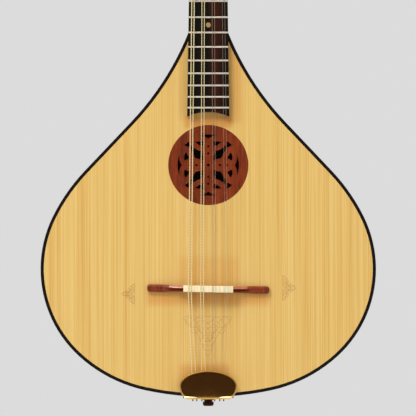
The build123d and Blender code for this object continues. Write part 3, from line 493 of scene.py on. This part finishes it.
def beads(name, outlines, centre, depth_y, radius_mm, finish, smooth=False):
    """Round-sectioned closed lines at one depth, from outlines in millimetres about a centre."""
    curve = bpy.data.curves.new(name, "CURVE")
    curve.dimensions = "3D"
    curve.bevel_depth = radius_mm * MM
    curve.bevel_resolution = 2
    for points in outlines:
        spline = curve.splines.new("NURBS" if smooth else "POLY")
        spline.points.add(len(points) - 1)
        for point, (x, z) in zip(spline.points, points):
            point.co = (centre.x + x * MM, depth_y, centre.z + z * MM, 1.0)
        spline.use_cyclic_u = True
        if smooth:
            spline.order_u = 3
            spline.resolution_u = 4
    piece = bpy.data.objects.new(name, curve)
    bpy.context.collection.objects.link(piece)
    scene_state = bpy.context.evaluated_depsgraph_get()
    mesh = bpy.data.meshes.new_from_object(piece.evaluated_get(scene_state))
    bpy.data.objects.remove(piece)
    mesh.name = name
    piece = bpy.data.objects.new(name, mesh)
    bpy.context.collection.objects.link(piece)
    mesh.materials.clear()
    mesh.materials.append(finish)
    mesh.polygons.foreach_set("use_smooth", [True] * len(mesh.polygons))
    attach(piece, "body")
    return piece


edges = []
for mirror_x, mirror_z in ((1, 1), (-1, 1), (-1, -1), (1, -1)):
    for opening in QUARTER_OPENINGS:
        edges.append([(mirror_x * x, mirror_z * z) for x, z in widened(opening, 0.9)])
rose_edges = beads("rose_strap_edges", edges, rose_centre, rose_low.y + 0.1 * MM, 0.42, rosewood)
rims = [circle_points(42.3), circle_points(34.9)]
rose_rim = beads("rose_rim_lines", rims, rose_centre, rose_low.y + 0.12 * MM, 0.30, rosewood)
print("rose edges", len(edges))

# %% [markdown]
# ## Burnt knot ornaments
# Three knot ornaments are burnt into the soundboard with a hot wire: one under the bridge and one
# beyond each of its ends. Each is a hollow-sided triangle filled with small trefoil knots that
# cross one another. A trefoil is a closed curve with a simple formula, so a short loop draws it.

# %% Burnt knots
burnt_spruce, tree, shader, place = new_material("burnt_spruce_line", Roughness=0.6)
scorch_place = stretched(tree, place, 0.4, 0.4, 0.4)
scorch = add_node(tree, "ShaderNodeTexNoise", {"Scale": 1.0}, Vector=scorch_place)
scorch_colour = ramp(tree, scorch.outputs[0], [(0.35, "#a06a2e"), (0.65, "#b98146")])
tree.links.new(scorch_colour, shader.inputs["Base Color"])


def turned(x, z, middle_x, middle_z, turn_degrees):
    """A point (x, z) away from a middle, along axes turned by an angle."""
    turn = math.radians(turn_degrees)
    along_x = x * math.cos(turn) - z * math.sin(turn)
    along_z = x * math.sin(turn) + z * math.cos(turn)
    return middle_x + along_x, middle_z + along_z


def knot(middle_x, middle_z, across, along, turn_degrees, count=72):
    """A trefoil knot that points along its turned -Z."""
    reach = 5.2
    points = []
    for i in range(count):
        t = 2 * math.pi * i / count
        x = (math.sin(t) + 2 * math.sin(2 * t)) / reach * across
        z = (math.cos(t) - 2 * math.cos(2 * t)) / reach * along
        points.append(turned(x, z, middle_x, middle_z, turn_degrees))
    return points


def triangle(middle_x, middle_z, across, along, turn_degrees):
    """A hollow-sided triangle that points along its turned -Z, as a closed outline."""
    base = [(-0.5, 0.46), (-0.16, 0.43), (0, 0.45), (0.16, 0.43), (0.5, 0.46)]
    side = [(0.27, 0.22), (0.12, -0.1)]
    shape = base + side + [(0, -0.54)] + [(-x, z) for x, z in reversed(side)]
    return [turned(x * across, z * along, middle_x, middle_z, turn_degrees) for x, z in shape]


board_origin = Vector((0, front_y, 0))
# middle x and z, width and length in millimetres, then turn in degrees
KNOT_PLACES = [
    (-0.6, 65.0, 60.0, 48.0, 0),
    (-86.0, 110.5, 26.0, 16.0, -90),
    (87.0, 117.0, 32.0, 17.0, 90),
]
# place across and along the triangle and size, as shares of its own
KNOT_PARTS = [
    (-0.24, 0.27, 0.30), (0.24, 0.27, 0.30), (0.0, 0.16, 0.40), (0.0, -0.14, 0.26), (0.0, 0.08, 0.28),
]
KNOT_STRETCH = 1.2
knots = []
for middle_x, middle_z, across, along, turn in KNOT_PLACES:
    knots.append(triangle(middle_x, middle_z, across, along, turn))
    for side, up, size in KNOT_PARTS:
        knot_x, knot_z = turned(side * across, up * along, middle_x, middle_z, turn)
        knots.append(knot(knot_x, knot_z, across * size, along * size * KNOT_STRETCH, turn))
burnt_depth = front_y + 0.18 * MM
burnt_knots = beads("burnt_knots", knots, board_origin, burnt_depth, 0.23, burnt_spruce, smooth=True)
print("knot lines", len(knots))

# %% [markdown]
# ## The bridge and its bone
# The bridge is whittled from one stick of rosewood. Beside the bone each arm has a sloping upper
# face and a lower step, and further out the knife leaves a flat scooped paddle. A section of ten
# points is blended from the one shape to the other along the arm, and the sections are joined.

# %% Whittled bridge
bridge_low, bridge_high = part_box("bridge")
bridge_centre = (bridge_low + bridge_high) / 2
BRIDGE_TILT = math.radians(1.0)
# across the arm and up from the soundboard, as shares of the half width and of the height
WING = [
    (-1, 0), (-1, 0.36), (-0.8, 0.5), (-0.34, 0.5), (-0.2, 0.4),
    (0.08, 0.97), (0.18, 1.0), (0.62, 0.92), (1, 0.8), (1, 0),
]
PADDLE = [
    (-1, 0), (-1, 0.55), (-0.84, 0.8), (-0.5, 0.95), (-0.2, 0.9),
    (0.2, 0.9), (0.5, 0.95), (0.84, 0.8), (1, 0.55), (1, 0),
]
# distance from the middle, half width, height and share of paddle, in millimetres
BRIDGE_SLICES = [
    (0, 3.28, 6.0, 0.5), (26.7, 3.28, 6.0, 0.5), (26.76, 3.28, 8.95, 0.0), (29.0, 3.28, 8.9, 0.0),
    (36, 3.4, 7.4, 0.1), (42, 3.55, 6.2, 0.45), (46.5, 3.95, 5.4, 0.9), (50, 3.98, 4.9, 1.0),
    (56, 3.98, 4.7, 1.0), (61, 3.98, 4.7, 1.0), (63.4, 3.85, 4.6, 1.0), (64.6, 3.3, 4.4, 1.0),
    (65.2, 2.4, 4.1, 1.0), (65.48, 1.4, 3.6, 1.0),
]


def finish_mesh(bm, name, finish, body):
    """Turn a bmesh into a piece that rides on a body."""
    bmesh.ops.recalc_face_normals(bm, faces=bm.faces)
    mesh = bpy.data.meshes.new(name)
    bm.to_mesh(mesh)
    bm.free()
    piece = bpy.data.objects.new(name, mesh)
    bpy.context.collection.objects.link(piece)
    mesh.materials.append(finish)
    mesh.polygons.foreach_set("use_smooth", [True] * len(mesh.polygons))
    mesh.set_sharp_from_angle(angle=math.radians(32))
    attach(piece, body)
    return piece


def join_rings(bm, rings):
    """Join closed rings of points into a skin, with a cap on each end."""
    made = [[bm.verts.new(point) for point in ring] for ring in rings]
    for near, far in zip(made, made[1:]):
        for i in range(len(near)):
            j = (i + 1) % len(near)
            bm.faces.new((near[i], near[j], far[j], far[i]))
    bm.faces.new(made[0])
    bm.faces.new(made[-1])


bm = bmesh.new()
slices = [(-x, w, h, p) for x, w, h, p in reversed(BRIDGE_SLICES[1:])] + BRIDGE_SLICES
rings = []
for x, half_width, height, paddle in slices:
    ring = []
    for (across_a, up_a), (across_b, up_b) in zip(WING, PADDLE):
        across = across_a + (across_b - across_a) * paddle
        up = up_a + (up_b - up_a) * paddle
        ring.append((x * MM, -up * height * MM, across * half_width * MM))
    rings.append(ring)
join_rings(bm, rings)
bmesh.ops.rotate(bm, verts=bm.verts, cent=(0, 0, 0), matrix=Matrix.Rotation(BRIDGE_TILT, 3, "Y"))
bmesh.ops.translate(bm, verts=bm.verts, vec=(bridge_centre.x, front_y, bridge_centre.z))
whittled_bridge = finish_mesh(bm, "whittled_bridge", rosewood, "body")
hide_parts("bridge")
# the second finish is the painted highlight on the wings' sloping tops
whittled_bridge.data.materials.append(lit_bevel_rosewood)
# the planed bevel, painted paler as a painted highlight, is the wing's sloping top, up to where the
# paddle takes over
BEVEL_SEGMENTS = (6, 7)
BEVEL_END = 0.45
for index, polygon in enumerate(whittled_bridge.data.polygons):
    ring_number, segment = divmod(index, len(WING))
    if segment in BEVEL_SEGMENTS and ring_number < len(slices) - 1:
        paddles = [slices[ring_number][3], slices[ring_number + 1][3]]
        polygon.material_index = 1 if max(paddles) <= BEVEL_END else 0
print("bridge faces", len(whittled_bridge.data.polygons))

# %% [markdown]
# The saddle is a plain block of bone whose front edges are rounded by sanding. It leans by the same
# one degree as the bridge that it stands on.

# %% Rounded bone
saddle_low, saddle_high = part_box("saddle")
saddle_centre = (saddle_low + saddle_high) / 2
saddle_size = (53.5 * MM, saddle_high.y - saddle_low.y, 6.98 * MM)
bm = bmesh.new()
bmesh.ops.create_cube(bm, size=1.0)
bmesh.ops.scale(bm, verts=bm.verts, vec=saddle_size)
front_edges = [e for e in bm.edges if all(v.co.y < 0 for v in e.verts)]
bmesh.ops.bevel(
    bm, geom=front_edges, offset=0.9 * MM, segments=4, profile=0.5,
    affect="EDGES", material=-1, clamp_overlap=True,
)
bmesh.ops.rotate(bm, verts=bm.verts, cent=(0, 0, 0), matrix=Matrix.Rotation(BRIDGE_TILT, 3, "Y"))
bmesh.ops.translate(bm, verts=bm.verts, vec=saddle_centre)
rounded_bone = finish_mesh(bm, "rounded_bone", bone, "body")
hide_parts("saddle")
print("bone faces", len(rounded_bone.data.polygons))

# %% [markdown]
# ## The tailpiece's mirror
# The cover is pressed from sheet brass and gold plated. Its face is slightly domed, so what it
# mirrors spreads and darkens softly towards the edges, and its lower corners are rolled forward
# into two short ridges, their gold painted paler as a painted highlight.

# %% Domed face and rolled corners
cover_low, cover_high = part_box("tailpiece_cover")
FACE_MIDDLE = 11.8
# right half of the face's edge from its waist down to the middle of its straight base
FACE_HALF_WIDTH = 31.0
FACE_RISE = 16.1
LOWER_EDGE = [
    (FACE_HALF_WIDTH, FACE_MIDDLE), (30.6, 8.5), (29.5, 5.2), (27.7, 2.3),
    (25.3, 0.0), (22.6, -1.3), (19.5, -1.6), (10, -1.6), (0, -1.6),
]


def face_ring(share, lift_mm, count=36):
    """A ring of the cover's face: an oval above its waist, narrowing to a straight base."""
    turns = [math.pi * i / count for i in range(count)]
    crown = [(FACE_HALF_WIDTH * math.cos(a), FACE_MIDDLE + FACE_RISE * math.sin(a)) for a in turns]
    outline = crown + [(-x, z) for x, z in LOWER_EDGE] + LOWER_EDGE[-2:0:-1]
    return [
        (x * share * MM, cover_low.y - lift_mm * MM, (FACE_MIDDLE + (z - FACE_MIDDLE) * share) * MM)
        for x, z in outline
    ]


# share of the outline and lift above the CAD cover's face in millimetres
FACE_RINGS = [
    (1.0, -0.7), (0.988, 0.0), (0.95, 0.07), (0.9, 0.13), (0.7, 0.24), (0.4, 0.33), (0.08, 0.37),
]
bm = bmesh.new()
rings = [face_ring(share, lift) for share, lift in FACE_RINGS]
join_rings(bm, rings)
domed_face = finish_mesh(bm, "domed_face", gold, "cover")
domed_face.data.materials.append(brushed_gold)
# the two outermost bands are the brushed edge
edge_faces = 2 * len(rings[0])
for polygon in domed_face.data.polygons:
    polygon.material_index = 1 if polygon.index < edge_faces else 0

bm = bmesh.new()
for side in (-1, 1):
    made = bmesh.ops.create_uvsphere(bm, u_segments=32, v_segments=16, radius=1.0)["verts"]
    for vert in made:
        vert.co.z *= 1.15 + 0.55 * vert.co.x * side
    bmesh.ops.scale(bm, verts=made, vec=(7.4 * MM, 0.5 * MM, 1.75 * MM))
    tip_forward = Matrix.Rotation(math.radians(-30), 3, "X")
    follow_corner = Matrix.Rotation(math.radians(side * -4), 3, "Y")
    bmesh.ops.rotate(bm, verts=made, cent=(0, 0, 0), matrix=tip_forward)
    bmesh.ops.rotate(bm, verts=made, cent=(0, 0, 0), matrix=follow_corner)
    bmesh.ops.translate(bm, verts=made, vec=(side * 18.6 * MM, cover_low.y + 0.1 * MM, 0.2 * MM))
# the rolled corners wear the paler gold of the painted highlight
rolled_corners = finish_mesh(bm, "rolled_corners", painted_highlight_gold, "cover")
print("cover pieces", domed_face.name, rolled_corners.name)
